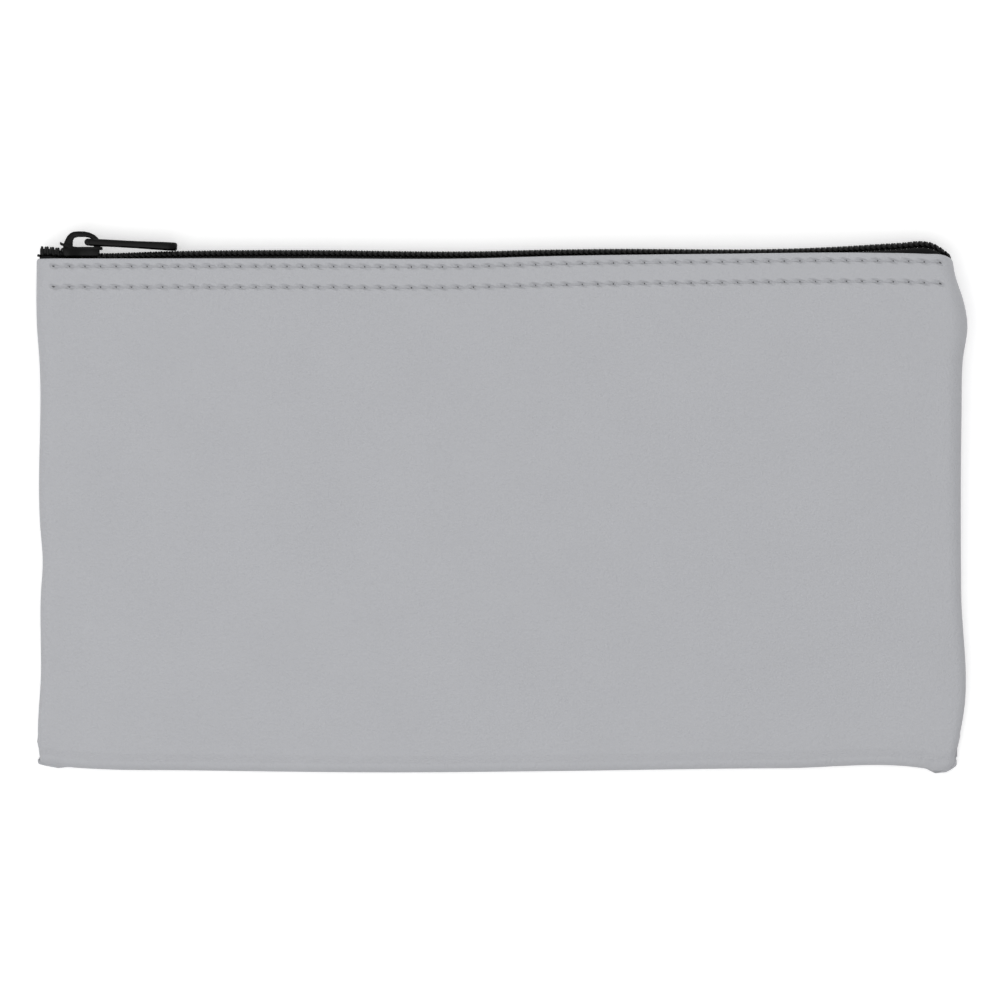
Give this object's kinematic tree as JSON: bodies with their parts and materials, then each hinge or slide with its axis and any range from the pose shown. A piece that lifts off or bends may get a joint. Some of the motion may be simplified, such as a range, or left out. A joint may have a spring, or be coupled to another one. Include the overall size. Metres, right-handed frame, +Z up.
{
  "type": "cash deposit bag",
  "caption": "Flat rectangular vinyl pouch for cash, closed along its mouth by an outside coil zipper with a slider and a hinged pull tab.",
  "frame": {"origin": "middle of the back panel's outer face, on the surface the bag lies on", "axes": "+X along the zipper towards the slider's closed end, -Y out of the zipped mouth, +Z up from the back panel to the front panel"},
  "size_m": [0.2794, 0.1637, 0.0152],
  "materials": {
    "grey_vinyl": "soft leather-grained vinyl, low sheen",
    "grey_thread": "twisted polyester sewing thread",
    "black_tape": "woven polyester zipper tape",
    "black_thread": "spun polyester cord and thread",
    "black_nylon": "drawn nylon monofilament, satin",
    "black_enamel": "baked black enamel on die-cast zinc, semi-gloss"
  },
  "bodies": {
    "bag_back": {"back_panel": "grey_vinyl", "back_zipper_tape": "black_tape", "back_coil": "black_nylon", "back_coil_cord": "black_thread", "back_coil_stitching": "black_thread", "back_edge_needle_thread": "grey_thread", "back_edge_bobbin_thread": "grey_thread", "back_hem_needle_thread": "grey_thread", "back_hem_bobbin_thread": "grey_thread", "left_seam_thread": "grey_thread", "right_seam_thread": "grey_thread", "bottom_seam_thread": "grey_thread"},
    "front_wall": {"front_panel": "grey_vinyl", "front_zipper_tape": "black_tape", "front_coil": "black_nylon", "front_coil_cord": "black_thread", "front_coil_stitching": "black_thread", "front_edge_needle_thread": "grey_thread", "front_edge_bobbin_thread": "grey_thread", "front_hem_needle_thread": "grey_thread", "front_hem_bobbin_thread": "grey_thread"},
    "slider": {"slider_body": "black_enamel"},
    "pull_tab": {"pull_tab": "black_enamel"}
  },
  "joints": [
    {"name": "slider_travel", "type": "slide", "parent": "bag_back", "child": "slider", "axis": [-1, 0, 0], "range_m": [0, 0.24], "deforming": ["back_zipper_tape", "back_coil", "back_coil_cord", "back_coil_stitching", "front_zipper_tape", "front_coil", "front_coil_cord", "front_coil_stitching"]},
    {"name": "mouth_open", "type": "hinge", "parent": "bag_back", "child": "front_wall", "pos_m": [0, 0.078, 0.0026], "axis": [-1, 0, 0], "range_deg": [0, 10]},
    {"name": "tab_swing", "type": "hinge", "parent": "slider", "child": "pull_tab", "pos_m": [0.125, -0.0827, 0.0076], "axis": [0, 0, 1], "range_deg": [0, 135]}
  ],
  "couplings": [
    {"joint": "mouth_open", "follows": "slider_travel", "rad_per_m": 0.72}
  ]
}
